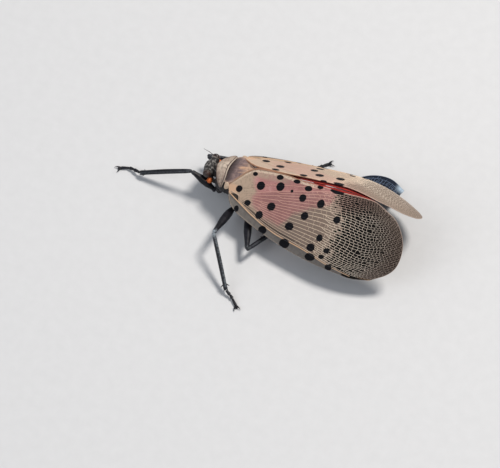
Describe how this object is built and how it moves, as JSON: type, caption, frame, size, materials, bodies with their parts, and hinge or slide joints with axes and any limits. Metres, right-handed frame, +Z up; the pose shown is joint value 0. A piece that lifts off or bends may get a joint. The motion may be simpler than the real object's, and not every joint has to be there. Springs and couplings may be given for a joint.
{
  "type": "spotted lanternfly",
  "caption": "Still, life-size model of a spotted lanternfly standing on six legs with its spotted wings folded like a roof.",
  "frame": {"origin": "middle of the model's box, on the floor under the feet", "axes": "+X from the head to the wing tips, +Z up, -Y to the insect's left"},
  "size_m": [0.036, 0.0232, 0.01],
  "materials": {
    "forewing": "pinkish tan with black spots, satin",
    "hindwing": "red at the base, black at the tip",
    "collar": "tan, finely mottled",
    "shield": "mauve brown with orange streaks",
    "tegula": "pale tan",
    "head": "grey-black, mottled",
    "eye": "dark brown, glossy",
    "antenna": "orange bulb, satin",
    "thorax": "black, satin",
    "abdomen": "yellow with black bands",
    "leg": "black, satin"
  },
  "bodies": {
    "root": {"abdomen": "abdomen", "antenna_left": "antenna", "antenna_right": "antenna", "beak": "thorax", "eye_left": "eye", "eye_right": "eye", "forewing_left": "forewing", "forewing_right": "forewing", "head": "head", "hindwing_left": "hindwing", "hindwing_right": "hindwing", "leg_fore_left_femur": "leg", "leg_fore_left_tarsus": "leg", "leg_fore_left_tibia": "leg", "leg_fore_right_femur": "leg", "leg_fore_right_tarsus": "leg", "leg_fore_right_tibia": "leg", "leg_hind_left_femur": "leg", "leg_hind_left_tarsus": "leg", "leg_hind_left_tibia": "leg", "leg_hind_right_femur": "leg", "leg_hind_right_tarsus": "leg", "leg_hind_right_tibia": "leg", "leg_mid_left_femur": "leg", "leg_mid_left_tarsus": "leg", "leg_mid_left_tibia": "leg", "leg_mid_right_femur": "leg", "leg_mid_right_tarsus": "leg", "leg_mid_right_tibia": "leg", "mesonotum": "shield", "pronotum": "collar", "tegula_left": "tegula", "tegula_right": "tegula", "thorax": "thorax"}
  },
  "joints": []
}
